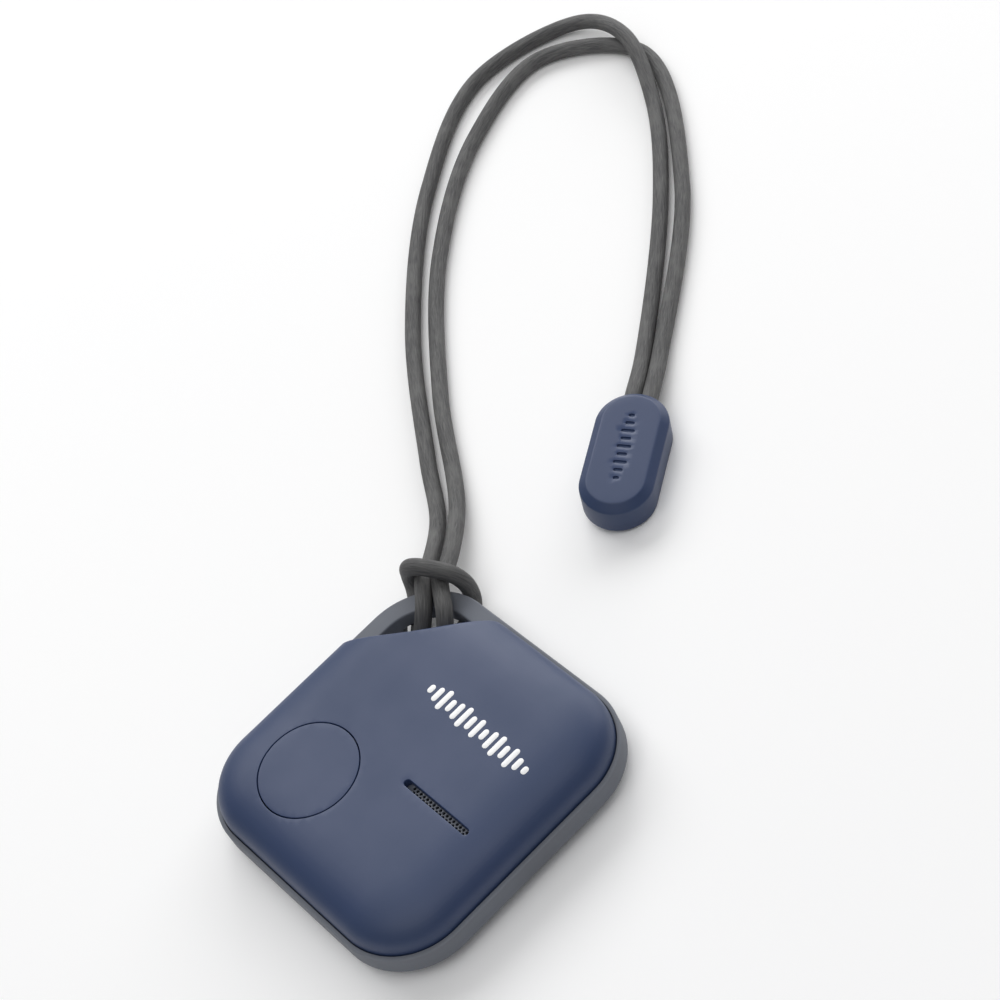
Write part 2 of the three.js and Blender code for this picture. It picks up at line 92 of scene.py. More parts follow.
class Nodes:
    """A material's node tree, built by short calls that each return an output socket."""

    def __init__(self, name, **inputs):
        self.material = bpy.data.materials.new(name)
        self.material.use_nodes = True
        self.tree = self.material.node_tree
        self.shader = next(n for n in self.tree.nodes if n.type == "BSDF_PRINCIPLED")
        for key, value in inputs.items():
            self.shader.inputs[key.replace("_", " ")].default_value = value

    def node(self, kind, **settings):
        made = self.tree.nodes.new(kind)
        for key, value in settings.items():
            setattr(made, key, value)
        return made

    def feed(self, socket, value):
        if isinstance(value, bpy.types.NodeSocket):
            self.tree.links.new(value, socket)
        else:
            socket.default_value = value

    def place(self):
        return self.node("ShaderNodeTexCoord").outputs["Object"]

    def attribute(self, name, output="Vector"):
        return self.node("ShaderNodeAttribute", attribute_name=name).outputs[output]

    def scaled(self, vector, scale):
        made = self.node("ShaderNodeVectorMath", operation="MULTIPLY")
        self.feed(made.inputs[0], vector)
        made.inputs[1].default_value = scale
        return made.outputs[0]

    def noise(self, vector, scale, detail=2.0, roughness=0.5):
        made = self.node("ShaderNodeTexNoise")
        self.feed(made.inputs["Vector"], vector)
        made.inputs["Scale"].default_value = scale
        made.inputs["Detail"].default_value = detail
        made.inputs["Roughness"].default_value = roughness
        return made.outputs["Fac"]

    def remap(self, value, low, high, to_low, to_high):
        made = self.node("ShaderNodeMapRange", clamp=True)
        self.feed(made.inputs["Value"], value)
        limits = {"From Min": low, "From Max": high, "To Min": to_low, "To Max": to_high}
        for key, number in limits.items():
            self.feed(made.inputs[key], number)
        return made.outputs["Result"]

    def maths(self, operation, first, second=0.0):
        made = self.node("ShaderNodeMath", operation=operation)
        self.feed(made.inputs[0], first)
        self.feed(made.inputs[1], second)
        return made.outputs[0]

    def mix(self, factor, first, second, blend="MIX"):
        made = self.node("ShaderNodeMix", data_type="RGBA", blend_type=blend)
        self.feed(made.inputs["Factor"], factor)
        self.feed(made.inputs[6], first)
        self.feed(made.inputs[7], second)
        return made.outputs[2]

    def bump(self, height, distance, strength=1.0, under=None):
        made = self.node("ShaderNodeBump")
        made.inputs["Distance"].default_value = distance
        made.inputs["Strength"].default_value = strength
        self.feed(made.inputs["Height"], height)
        if under is not None:
            self.feed(made.inputs["Normal"], under)
        return made.outputs["Normal"]

    def colour(self, value):
        self.feed(self.shader.inputs["Base Color"], value)

    def rough(self, value):
        self.feed(self.shader.inputs["Roughness"], value)

    def normal(self, value):
        self.feed(self.shader.inputs["Normal"], value)


def moulded(name, base, deep, roughness, grain_mm=0.16, grain_depth=0.004, spread=0.06, **inputs):
    """Spark-eroded moulded plastic: a fine grain, cloudy tone and edges polished by handling."""
    m = Nodes(name, **inputs)
    place = m.place()
    cloud = m.noise(place, 90, 3, 0.55)
    fine = m.noise(place, 1 / (grain_mm * MM), 2, 0.6)
    tone = m.mix(m.remap(cloud, 0.35, 0.65, 0, 1), base, deep)
    worn = m.maths("MULTIPLY", m.attribute("edge_wear", "Fac"), 0.3)
    light = tuple(min(1, 1.3 * c + 0.01) for c in base[:3]) + (1,)
    m.colour(m.mix(worn, tone, light))
    patchy = m.remap(cloud, 0.3, 0.7, roughness - spread, roughness + spread)
    m.rough(m.maths("SUBTRACT", patchy, m.maths("MULTIPLY", worn, 0.3)))
    m.normal(m.bump(fine, grain_depth * MM))
    return m.material


def sheet_metal(name, base, roughness, grain=(1, 1, 1), depth=0.002):
    """Rolled or turned metal with a faint grain and slightly dulled patches."""
    m = Nodes(name, Metallic=1.0)
    place = m.place()
    streaks = m.noise(m.scaled(place, grain), 2500, 3, 0.6)
    cloud = m.noise(place, 300, 2, 0.5)
    dull = tuple(0.8 * c for c in base[:3]) + (1,)
    m.colour(m.mix(m.remap(cloud, 0.35, 0.7, 0, 1), base, dull))
    m.rough(m.remap(streaks, 0.3, 0.7, roughness - 0.08, roughness + 0.08))
    m.normal(m.bump(streaks, depth * MM))
    return m.material


def fibre_cord():
    """A sleeve of fine fibres laid almost along the cord, with painted shade darkening it in and around the
    knot.
    """
    m = Nodes("cord_fibre", Specular_IOR_Level=0.3)
    left = m.attribute("fibre_left")
    right = m.attribute("fibre_right")
    straight = m.attribute("cord_space")
    streaks = m.noise(m.scaled(left, (1, 1, 0.07)), 4.2, 3, 0.65)
    crossing = m.noise(m.scaled(right, (1, 1, 0.07)), 6.5, 2, 0.6)
    hair = m.noise(m.scaled(left, (1, 1, 0.05)), 14, 2, 0.7)
    mottle = m.noise(m.scaled(straight, (1, 1, 0.6)), 0.5, 2, 0.5)
    shade = m.mix(m.remap(streaks, 0.36, 0.64, 0, 1), linear(77, 77, 78), linear(106, 106, 106))
    shade = m.mix(m.remap(crossing, 0.5, 0.7, 0, 0.6), shade, linear(118, 118, 117))
    shade = m.mix(m.remap(hair, 0.45, 0.7, 0, 0.45), shade, linear(60, 60, 61))
    shade = m.mix(m.remap(mottle, 0.5, 0.68, 0, 0.4), shade, linear(118, 118, 117))
    # Painted shade: the cord is darkened in and around the knot, where the strands shade one another.
    painted_knot_shade = m.maths("MULTIPLY", m.attribute("knot_shade", "Fac"), 0.25)
    m.colour(m.mix(painted_knot_shade, shade, linear(48, 48, 49)))
    m.rough(m.remap(streaks, 0.35, 0.65, 0.55, 0.78))
    coarse = m.bump(streaks, 0.14 * MM)
    m.normal(m.bump(hair, 0.05 * MM, 1.0, coarse))
    return m.material


def rubber(name, base):
    """Soft black rubber, dull and slightly dusty."""
    m = Nodes(name)
    place = m.place()
    fine = m.noise(place, 5000, 2, 0.6)
    cloud = m.noise(place, 400, 2, 0.5)
    lighter = tuple(1.6 * c + 0.004 for c in base[:3]) + (1,)
    m.colour(m.mix(m.remap(cloud, 0.35, 0.7, 0, 1), base, lighter))
    m.rough(m.remap(cloud, 0.3, 0.7, 0.7, 0.86))
    m.normal(m.bump(fine, 0.004 * MM))
    return m.material


def board_laminate():
    """Green solder mask over a faint woven glass laminate."""
    m = Nodes("board_mask", Coat_Weight=0.25, Coat_Roughness=0.2)
    place = m.place()
    weave = m.node("ShaderNodeTexWave", wave_type="BANDS", bands_direction="X")
    weave.inputs["Scale"].default_value = 320
    weave.inputs["Distortion"].default_value = 0.4
    m.feed(weave.inputs["Vector"], place)
    cross = m.node("ShaderNodeTexWave", wave_type="BANDS", bands_direction="Y")
    cross.inputs["Scale"].default_value = 320
    cross.inputs["Distortion"].default_value = 0.4
    m.feed(cross.inputs["Vector"], place)
    cloth = m.maths("MULTIPLY", weave.outputs["Fac"], cross.outputs["Fac"])
    cloud = m.noise(place, 250, 2, 0.5)
    tone = m.mix(m.remap(cloud, 0.35, 0.7, 0, 1), linear(24, 82, 54), linear(17, 66, 46))
    m.colour(m.mix(m.remap(cloth, 0.2, 0.9, 0, 0.25), tone, linear(52, 110, 70)))
    m.rough(m.remap(cloud, 0.3, 0.7, 0.32, 0.5))
    m.normal(m.bump(cloth, 0.006 * MM))
    return m.material


COVER = moulded("cover_softtouch", linear(44, 60, 95), linear(41, 58, 92), 0.46)
SHELL = moulded("shell_plastic", linear(117, 121, 129), linear(113, 116, 123), 0.5, Specular_IOR_Level=0.05)
BLACK = moulded("black_plastic", linear(34, 35, 38), linear(27, 28, 31), 0.55, 0.1, 0.003)
WHITE = moulded("white_plastic", linear(222, 221, 214), linear(212, 210, 202), 0.5, 0.1, 0.003)
CERAMIC = moulded("ceramic_body", linear(196, 176, 143), linear(180, 158, 126), 0.55, 0.08, 0.003)
INK = moulded("white_ink", linear(250, 250, 250), linear(240, 241, 242), 0.42, 0.07, 0.0025, 0.05)
RUBBER = rubber("seal_rubber", linear(30, 30, 31))
STEEL = sheet_metal("bright_steel", linear(190, 191, 193), 0.3, (1, 0.05, 1))
MESH = moulded("mesh_coated", linear(94, 99, 110), linear(84, 89, 100), 0.5, 0.08, 0.003)
# Dark steel for the sounder: painted shade, darkened so the holes of the mesh above it read dark.
SOUNDER_SHADE_STEEL = sheet_metal("sounder_steel_painted_shade", linear(46, 47, 50), 0.5)
BRASS = sheet_metal("spring_brass", linear(214, 190, 128), 0.3, (0.05, 1, 1))
BOARD = board_laminate()
CORD = fibre_cord()

# ---- Cord ---------------------------------------------------------------------------------------

CORD_DIAMETER = 2.0
CORD_SIDES = 32
CORD_STEP = 0.25
FIBRE_TWIST = 0.1
# Centre of the painted shade on the cord at the knot.
KNOT_SHADE_CENTRE = (16.5, 16, 5)

# The route of the CAD cord, out of the bead, round the loop, through the hitch and back.
CORD_ROUTE = [
    # out of the bead and round the right and the top of the loop, over the other strand
    (45.58, 14.04, 2.96), (50.36, 17.26, 2.96), (56.2, 22.01, 1.54), (75.6, 38.8, 1.15),
    (87.2, 51.9, 1.65), (92.8, 62.6, 3.4), (92.2, 72.4, 1.35), (78, 77.4, 1.05), (60.5, 68.2, 1.05),
    (43, 51.4, 1.1), (29.95, 33.46, 1.2), (24.67, 25.47, 1.34),
    # up onto the bar, down through the eye and out under the bar
    (18.03, 18.48, 4.23), (17.04, 17.46, 5.1), (14.31, 14.09, 5.48), (12.52, 13.56, 3.26),
    (12.42, 14.81, 1.57), (14.01, 16.9, 1.02), (16.2, 19.75, 2.17),
    # up the outside, over both strands and down again
    (16.68, 20.27, 3.8), (16.65, 18.38, 7.18), (17.49, 15.99, 8.03), (19.21, 13.6, 6.5),
    (19.88, 13.38, 2.55), (18.83, 12.5, 1.15),
    # under the bar, up through the eye and away over the bar
    (14.83, 10.73, 1.82), (14.08, 10.52, 4.06), (15.35, 11.36, 5.9), (18.35, 15.83, 5.23),
    (19.6, 16.82, 4.28),
    # back round the loop, under the other strand, into the bead
    (27.09, 24.36, 1.84), (37.97, 40.24, 1.1), (53, 57.4, 1.08), (70, 69.3, 1.05),
    (84.9, 72.3, 1.05), (93.1, 60.6, 1.05), (79, 38.3, 1.15), (57.4, 20.34, 1.41),
    (51.44, 15.54, 2.64), (46.73, 12.36, 2.64),
]


def smooth_route(points, step):
    """A centripetal Catmull-Rom curve through the points, sampled about every step millimetres."""
    given = np.array(points, float)
    route = np.vstack([2 * given[0] - given[1], given, 2 * given[-1] - given[-2]])
    found = []
    for p0, p1, p2, p3 in zip(route, route[1:], route[2:], route[3:]):
        gap0, gap1, gap2 = (math.sqrt(np.linalg.norm(b - a)) for a, b in ((p0, p1), (p1, p2), (p2, p3)))
        leave = ((p1 - p0) / gap0 - (p2 - p0) / (gap0 + gap1) + (p2 - p1) / gap1) * gap1
        reach = ((p2 - p1) / gap1 - (p3 - p1) / (gap1 + gap2) + (p3 - p2) / gap2) * gap1
        count = max(2, round(np.linalg.norm(p2 - p1) / step))
        for t in np.arange(count) / count:
            square = (-3 * p1 + 3 * p2 - 2 * leave - reach) * t**2
            cube = (2 * p1 - 2 * p2 + leave + reach) * t**3
            found.append(p1 + leave * t + square + cube)
    found.append(route[-2])
    return np.array(found)


def add_object(name, mesh):
    made = bpy.data.objects.new(name, mesh)
    bpy.context.scene.collection.objects.link(made)
    return made


def mark_wear(mesh):
    """Stores how far each point stands on a rounded outer edge, where handling polishes it."""
    shape = bmesh.new()
    shape.from_mesh(mesh)
    wear = [max((e.calc_face_angle_signed(0.0) for e in v.link_edges), default=0.0) for v in shape.verts]
    shape.free()
    layer = mesh.attributes.new("edge_wear", "FLOAT", "POINT")
    layer.data.foreach_set("value", np.clip((np.array(wear, np.float32) - 0.14) / 0.3, 0, 1))


def build_mesh(name, points, faces, sharp_degrees=35):
    """A mesh in metres from points in millimetres, smooth but for its sharp edges."""
    mesh = bpy.data.meshes.new(name)
    mesh.from_pydata((np.asarray(points) * MM).tolist(), [], faces)
    mesh.polygons.foreach_set("use_smooth", np.ones(len(mesh.polygons), bool))
    mesh.set_sharp_from_angle(angle=math.radians(sharp_degrees))
    mesh.update()
    mark_wear(mesh)
    return mesh


def store(mesh, name, vectors):
    layer = mesh.attributes.new(name, "FLOAT_VECTOR", "POINT")
    layer.data.foreach_set("vector", np.asarray(vectors, np.float32).ravel())


def tube_frames(path):
    """Directions across the path at each point, carried along it without twist."""
    along = np.gradient(path, axis=0)
    along /= np.linalg.norm(along, axis=1)[:, None]
    side = np.cross(along[0], (0, 0, 1.0))
    sides = []
    for direction in along:
        side = side - direction * side.dot(direction)
        side /= np.linalg.norm(side)
        sides.append(side)
    sides = np.array(sides)
    return sides, np.cross(along, sides)


def cord_mesh(path):
    sides, ups = tube_frames(path)
    run = np.concatenate([[0], np.cumsum(np.linalg.norm(np.diff(path, axis=0), axis=1))])
    turn = np.arange(CORD_SIDES) * 2 * math.pi / CORD_SIDES
    radius = CORD_DIAMETER / 2
    spokes = np.cos(turn)[None, :, None] * sides[:, None] + np.sin(turn)[None, :, None] * ups[:, None]
    points = (path[:, None] + radius * spokes).reshape(-1, 3)
    count = len(path)
    faces = []
    for ring in range(count - 1):
        low, high = ring * CORD_SIDES, (ring + 1) * CORD_SIDES
        for i in range(CORD_SIDES):
            j = (i + 1) % CORD_SIDES
            faces.append((low + i, low + j, high + j, high + i))
    faces.append(tuple(reversed(range(CORD_SIDES))))
    faces.append(tuple((count - 1) * CORD_SIDES + i for i in range(CORD_SIDES)))
    mesh = build_mesh("lanyard_fibre_cord", points, faces, 60)
    for name, twist in (("cord_space", 0), ("fibre_left", FIBRE_TWIST), ("fibre_right", -FIBRE_TWIST)):
        angle = turn[None, :] + twist * run[:, None]
        flat = np.stack([radius * np.cos(angle), radius * np.sin(angle),
                         np.broadcast_to(run[:, None], angle.shape)], axis=-1)
        store(mesh, name, flat.reshape(-1, 3))
    # Painted shade mask: full near the knot's centre, fading out between 5 and 9 mm from it.
    away = np.linalg.norm(points - np.array(KNOT_SHADE_CENTRE), axis=1)
    layer = mesh.attributes.new("knot_shade", "FLOAT", "POINT")
    layer.data.foreach_set("value", np.clip((9 - away) / 4, 0, 1).astype(np.float32))
    return mesh


cord_path = smooth_route(CORD_ROUTE, CORD_STEP)
cord = add_object("lanyard_fibre_cord", cord_mesh(cord_path))
cord.data.materials.append(CORD)
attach(cord, "tag")
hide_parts("lanyard_cord")

# ---- Plates: solids with one top height and one bottom height over each point ---------------------


def fillet_steps(radius, count=4):
    """Distances from an edge at which a rounded edge of that radius is cut into flats."""
    return [radius * (1 - math.cos(math.pi / 2 * k / count)) for k in range(1, count + 1)]


def fillet_drop(distance, radius):
    """How far a rounded edge has fallen, at each distance inside the edge."""
    left = radius - np.clip(distance, 0, radius)
    return radius - np.sqrt(np.maximum(radius**2 - left**2, 0))


def grid_points(low, high, spacing):
    rows = np.arange(low[1], high[1], spacing * 0.866)
    found = []
    for i, y in enumerate(rows):
        xs = np.arange(low[0] + (i % 2) * spacing / 2, high[0], spacing)
        found.append(np.column_stack([xs, np.full(len(xs), y)]))
    return np.vstack(found)


def plate(loops, guides, inside, top, bottom, spacing):
    """Points and faces of a plate bounded by loops. Guides are lines that its triangles follow."""
    lines = [(np.asarray(line), True) for line in loops]
    lines += [(np.asarray(line), shut) for line, shut in guides]
    points, edges, start = [], [], 0
    for line, shut in lines:
        count = len(line)
        points.append(line)
        edges += [(start + i, start + i + 1) for i in range(count - 1)]
        if shut:
            edges.append((start + count - 1, start))
        start += count
    fixed = np.vstack(points)
    low, high = fixed.min(0), fixed.max(0)
    fill = grid_points(low, high, spacing)
    fill = fill[inside(fill)]
    clear = np.array([np.min(np.hypot(*(fixed - p).T)) > 0.45 * spacing for p in fill], bool)
    flat = np.vstack([fixed, fill[clear]]) if len(fill) else fixed
    found = delaunay_2d_cdt([Vector(p) for p in flat], edges, [], 0, 1e-6)
    spots = np.array([tuple(v) for v in found[0]])
    triangles = np.array([tuple(f) for f in found[2]])
    triangles = triangles[inside(spots[triangles].mean(1))]
    a, b, c = (spots[triangles[:, i]] for i in range(3))
    area = (b[:, 0] - a[:, 0]) * (c[:, 1] - a[:, 1]) - (b[:, 1] - a[:, 1]) * (c[:, 0] - a[:, 0])
    triangles[area < 0] = triangles[area < 0][:, ::-1]
    used = np.unique(triangles)
    renumber = np.full(len(spots), -1)
    renumber[used] = np.arange(len(used))
    spots, triangles = spots[used], renumber[triangles]
    count = len(spots)
    points = np.vstack([np.column_stack([spots, top(spots)]), np.column_stack([spots, bottom(spots)])])
    pairs = {(int(t[i]), int(t[(i + 1) % 3])) for t in triangles for i in range(3)}
    faces = [tuple(int(i) for i in t) for t in triangles]
    faces += [tuple(int(i) + count for i in reversed(t)) for t in triangles]
    for i, j in sorted(pairs):
        if (j, i) not in pairs:
            faces.append((i, i + count, j + count, j))
    return points, faces


def joined(parts):
    points, faces, start = [], [], 0
    for part_points, part_faces in parts:
        points.append(np.asarray(part_points, float))
        faces += [tuple(i + start for i in face) for face in part_faces]
        start += len(part_points)
    return np.vstack(points), faces


def block(low, high):
    """Points and faces of a box."""
    corners = [(x, y, z) for z in (low[2], high[2]) for y in (low[1], high[1]) for x in (low[0], high[0])]
    faces = [(0, 2, 3, 1), (4, 5, 7, 6), (0, 1, 5, 4), (2, 6, 7, 3), (0, 4, 6, 2), (1, 3, 7, 5)]
    return np.array(corners, float), faces


def turned(part, degrees, centre=(0, 0)):
    points, faces = part
    a = math.radians(degrees)
    spin = np.array([[math.cos(a), math.sin(a), 0], [-math.sin(a), math.cos(a), 0], [0, 0, 1]])
    return points @ spin + np.array([*centre, 0]), faces


# ---- Outlines and distances -------------------------------------------------------------------

TAG_HALF = 19
CORNER_RADIUS = 8.8
BITE_RADIUS = 40
BITE_PLACE = (15.35 + BITE_RADIUS) / math.sqrt(2)
# Half the width of the steep bands that stand for upright walls in a plate.
STEP = 0.006


def tag_outline(depth, arc_steps=28):
    """The tag's rounded square, moved inwards by a depth."""
    radius = CORNER_RADIUS - depth
    centre = TAG_HALF - CORNER_RADIUS
    corners = []
    for quarter in range(4):
        turn = (quarter + np.linspace(0, 1, arc_steps + 1)) * math.pi / 2
        sign_x = 1 if quarter in (0, 3) else -1
        sign_y = 1 if quarter in (0, 1) else -1
        corners.append(np.column_stack([sign_x * centre + radius * np.cos(turn),
                                        sign_y * centre + radius * np.sin(turn)]))
    return dense(np.vstack(corners), 1.0)


def dense(line, spacing, shut=True):
    """The same line with points added where they lie further apart than the spacing."""
    ends = np.roll(line, -1, axis=0) if shut else line[1:]
    found = []
    for a, b in zip(line, ends):
        count = max(1, math.ceil(np.hypot(*(b - a)) / spacing))
        found += [a + (b - a) * k / count for k in range(count)]
    if not shut:
        found.append(line[-1])
    return np.array(found)


def depth_of(p):
    """How far each point lies inside the tag's outline."""
    q = np.abs(p) - (TAG_HALF - CORNER_RADIUS)
    outside = np.hypot(*np.maximum(q, 0).T)
    return CORNER_RADIUS - outside - np.minimum(q.max(1), 0)


def past_bite(p):
    """How far each point lies on the cover's side of the curved cut."""
    return np.hypot(p[:, 0] - BITE_PLACE, p[:, 1] - BITE_PLACE) - BITE_RADIUS


def circle(radius, centre=(0, 0), count=96):
    turn = np.arange(count) * 2 * math.pi / count
    return np.column_stack([centre[0] + radius * np.cos(turn), centre[1] + radius * np.sin(turn)])


def stadium(length, width, arc_steps=12):
    reach = (length - width) / 2
    turn = np.linspace(-math.pi / 2, math.pi / 2, arc_steps + 1)
    end = np.column_stack([reach + width / 2 * np.cos(turn), width / 2 * np.sin(turn)])
    return dense(np.vstack([end, -end]), 0.6)


def in_stadium(p, length, width):
    """How far each point lies inside a stadium along X."""
    reach = (length - width) / 2
    x = np.maximum(np.abs(p[:, 0]) - reach, 0)
    return width / 2 - np.hypot(x, p[:, 1])


def bite_arc(offset, depth, spacing=0.5):
    """The curved cut moved by an offset, from side to side of the outline at a depth."""
    radius = BITE_RADIUS + offset
    turn = np.linspace(math.radians(180), math.radians(270), 4000)
    line = BITE_PLACE + radius * np.column_stack([np.cos(turn), np.sin(turn)])
    line = line[depth_of(line) > depth]
    every = max(1, int(spacing / np.hypot(*(line[1] - line[0]))))
    return np.vstack([line[::every], line[-1:]])


def cut_outline(depth, offset, keep_cover=True):
    """The outline at a depth, cut along the curve, on the cover's side or the eye's side of it."""
    line = tag_outline(depth)
    sign = 1 if keep_cover else -1
    side = sign * (past_bite(line) - offset) > 0
    first = next(i for i in range(len(line)) if side[i] and not side[i - 1])
    line, side = np.roll(line, -first, axis=0), np.roll(side, -first)
    kept = line[side]
    arc = bite_arc(offset, depth)
    if np.hypot(*(arc[0] - kept[-1])) > np.hypot(*(arc[-1] - kept[-1])):
        arc = arc[::-1]
    return np.vstack([kept, arc])


def parts_inside(line, test, shut=True):
    """The stretches of a line that pass a test, as open guide lines."""
    keep = test(line)
    if keep.all():
        return [(line, shut)]
    if not keep.any():
        return []
    if shut:
        first = next(i for i in range(len(line)) if keep[i] and not keep[i - 1])
        line, keep = np.roll(line, -first, axis=0), np.roll(keep, -first)
    found, run = [], []
    for point, good in zip(line, keep):
        if good:
            run.append(point)
        elif run:
            found.append(run)
            run = []
    if run:
        found.append(run)
    return [(np.array(run), False) for run in found if len(run) > 1]


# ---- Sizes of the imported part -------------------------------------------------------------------

RIM_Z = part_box("rear_shell")[1].z / MM
TOP_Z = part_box("front_cover")[1].z / MM
BUTTON_AT = (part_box("switch_body")[0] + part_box("switch_body")[1]) / 2 / MM
BUTTON_CENTRE = (BUTTON_AT.x, BUTTON_AT.y)
SLOT_AT = (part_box("sounder")[0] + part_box("sounder")[1]) / 2 / MM
SLOT_CENTRE = np.array([SLOT_AT.x, SLOT_AT.y])

COVER_INSET = 0.6
COVER_WALL = 1.1
CROWN_INSET, CROWN_POWER = 8, 2.6
CROWN_HEIGHT = TOP_Z - RIM_Z
SKIRT_Z = 3.7
HOLLOW_INSET, HOLLOW_HEIGHT = 4.6, 3.35
BUTTON_RADIUS = 5.87
BUTTON_HOLE = 6.01
SLOT_LENGTH, SLOT_WIDTH = 10.4, 0.82
MESH_SEAT_LENGTH, MESH_SEAT_WIDTH = 12.2, 3.2


def crown(p):
    """Height of the cover's domed top."""
    left = 1 - np.clip(depth_of(p) - COVER_INSET, 0, CROWN_INSET) / CROWN_INSET
    return RIM_Z + CROWN_HEIGHT * (1 - left**CROWN_POWER) ** (1 / CROWN_POWER)


def hollow_height(p):
    """Height of the ceiling inside the cover."""
    left = 1 - np.clip(depth_of(p) - COVER_INSET - COVER_WALL, 0, HOLLOW_INSET) / HOLLOW_INSET
    return TOP_Z - COVER_WALL - HOLLOW_HEIGHT * (1 - np.sqrt(1 - left**2))


def to_slot(p):
    """Points in the slot's own axes, with the slot along X."""
    q = p - SLOT_CENTRE
    return np.column_stack([q[:, 1], -q[:, 0]])


def slot_line(length, width):
    line = stadium(length, width)
    return np.column_stack([-line[:, 1], line[:, 0]]) + SLOT_CENTRE


def from_button(p):
    return np.hypot(p[:, 0] - BUTTON_CENTRE[0], p[:, 1] - BUTTON_CENTRE[1])


# ---- Front cover ------------------------------------------------------------------------------

# The cut edge is rounded, less and less towards the cover's outer edge.
CUT_FILLET, CUT_FADE = 0.35, 1.5
HOLE_FILLET = 0.05
SLOT_FILLET = 0.1
CROWN_DEPTHS = [COVER_INSET + CROWN_INSET * (1 - math.cos(math.pi / 2 * k / 22)) for k in range(1, 23)]


def cover_inside(p):
    return ((depth_of(p) > COVER_INSET) & (past_bite(p) > 0) & (from_button(p) > BUTTON_HOLE)
            & (in_stadium(to_slot(p), SLOT_LENGTH, SLOT_WIDTH) < 0))


def cover_top(p):
    fade = np.clip((depth_of(p) - COVER_INSET) / CUT_FADE, 0, 1)
    cut = fillet_drop(past_bite(p), CUT_FILLET) * fade
    hole = fillet_drop(from_button(p) - BUTTON_HOLE, HOLE_FILLET)
    slot = fillet_drop(-in_stadium(to_slot(p), SLOT_LENGTH, SLOT_WIDTH), SLOT_FILLET)
    return np.maximum(crown(p) - np.maximum(cut, np.maximum(hole, slot)), SKIRT_Z + 0.1)


def cover_bottom(p):
    hollow = np.where(depth_of(p) < COVER_INSET + COVER_WALL, SKIRT_Z, hollow_height(p) - 0.15)
    seat = in_stadium(to_slot(p), MESH_SEAT_LENGTH, MESH_SEAT_WIDTH) > 0
    hollow = np.where(seat, TOP_Z - COVER_WALL, hollow)
    return np.where(past_bite(p) < COVER_WALL, SKIRT_Z, hollow)


def cover_parts():
    loops = [cut_outline(COVER_INSET, 0), circle(BUTTON_HOLE, BUTTON_CENTRE, 128),
             slot_line(SLOT_LENGTH, SLOT_WIDTH)]
    guides = []

    def on_cover(margin):
        return lambda p: ((depth_of(p) > COVER_INSET + 1e-3) & (past_bite(p) > margin)
                          & (from_button(p) > BUTTON_HOLE + HOLE_FILLET))

    for depth in CROWN_DEPTHS:
        guides += parts_inside(tag_outline(depth), on_cover(0.02))
    for k in range(1, 7):
        depth = COVER_INSET + COVER_WALL + HOLLOW_INSET * (1 - math.cos(math.pi / 2 * k / 6))
        guides += parts_inside(tag_outline(depth), on_cover(COVER_WALL + 0.05))
    for distance in fillet_steps(CUT_FILLET, 5) + [COVER_WALL - STEP, COVER_WALL + STEP]:
        guides.append((bite_arc(distance, COVER_INSET + 0.01), False))
    for distance in fillet_steps(HOLE_FILLET):
        guides.append((circle(BUTTON_HOLE + distance, BUTTON_CENTRE, 128), True))
    for distance in fillet_steps(SLOT_FILLET):
        guides.append((slot_line(SLOT_LENGTH + 2 * distance, SLOT_WIDTH + 2 * distance), True))
    for distance in (-STEP, STEP):
        guides.append((slot_line(MESH_SEAT_LENGTH + 2 * distance, MESH_SEAT_WIDTH + 2 * distance), True))
    return plate(loops, guides, cover_inside, cover_top, cover_bottom, 0.8)


def add_piece(name, parts, material, body, replaced, sharp_degrees=35):
    made = add_object(name, build_mesh(name, *parts, sharp_degrees))
    made.data.materials.append(material)
    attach(made, body)
    if replaced:
        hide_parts(replaced)
    return made


add_piece("cover_softtouch", cover_parts(), COVER, "tag", "front_cover")

# ---- Button cap -------------------------------------------------------------------------------

BUTTON_FILLET = 0.05
SKIRT_RADIUS, STEM_RADIUS = 5, 1


def button_bottom(p):
    r = from_button(p)
    return np.where(r > SKIRT_RADIUS, 6.55, np.where(r < STEM_RADIUS, 6.8, 7.2))


def button_parts():
    guides = [(circle(BUTTON_RADIUS - d, BUTTON_CENTRE, 128), True) for d in fillet_steps(BUTTON_FILLET)]
    guides += [(circle(SKIRT_RADIUS + d, BUTTON_CENTRE, 64), True) for d in (-STEP, STEP)]
    guides += [(circle(STEM_RADIUS + d, BUTTON_CENTRE, 24), True) for d in (-STEP, STEP)]
    for depth in CROWN_DEPTHS[10:]:
        guides += parts_inside(tag_outline(depth), lambda p: from_button(p) < BUTTON_RADIUS - BUTTON_FILLET)
    cap = plate([circle(BUTTON_RADIUS, BUTTON_CENTRE, 128)], guides,
                lambda p: from_button(p) < BUTTON_RADIUS,
                lambda p: crown(p) - fillet_drop(BUTTON_RADIUS - from_button(p), BUTTON_FILLET),
                button_bottom, 0.8)
    tab = block((5.3, -1, 6.55), (6.5, 1, 6.8))
    tabs = [turned(tab, degrees, BUTTON_CENTRE) for degrees in (0, 80, -80)]
    return joined([cap] + tabs)


add_piece("button_softtouch", button_parts(), COVER, "button", "button_cap")

# ---- Rear shell -------------------------------------------------------------------------------

LEDGE_Z, FLOOR_Z = 3.3, 1.65
RIM_WIDTH, SHELL_WALL, BAR_WIDTH = 0.5, 1.9, 2.4
RIM_FILLET, INNER_FILLET, EYE_FILLET, RELIEF_FILLET = 0.22, 0.08, 0.22, 0.1
BACK_INSET, BACK_RISE = 7, 1.9
BAR_UNDERSIDE_Z = 2.3
CAVITY_FROM_CUT = 1.6
DOOR_HOLE, COLLAR_HOLE, DOOR_STEP_Z = 12.2, 11.1, 1.25
RELIEF_LOW, RELIEF_HIGH, RELIEF_START = -6.7, 3.5, 16
# The bar's top ends this far short of the cover's cut edge.
SEAT_EDGE = -0.02


def shell_inside(p):
    eye = (depth_of(p) > BAR_WIDTH) & (past_bite(p) < 0)
    return (depth_of(p) > 0) & ~eye & (np.hypot(*p.T) > COLLAR_HOLE)


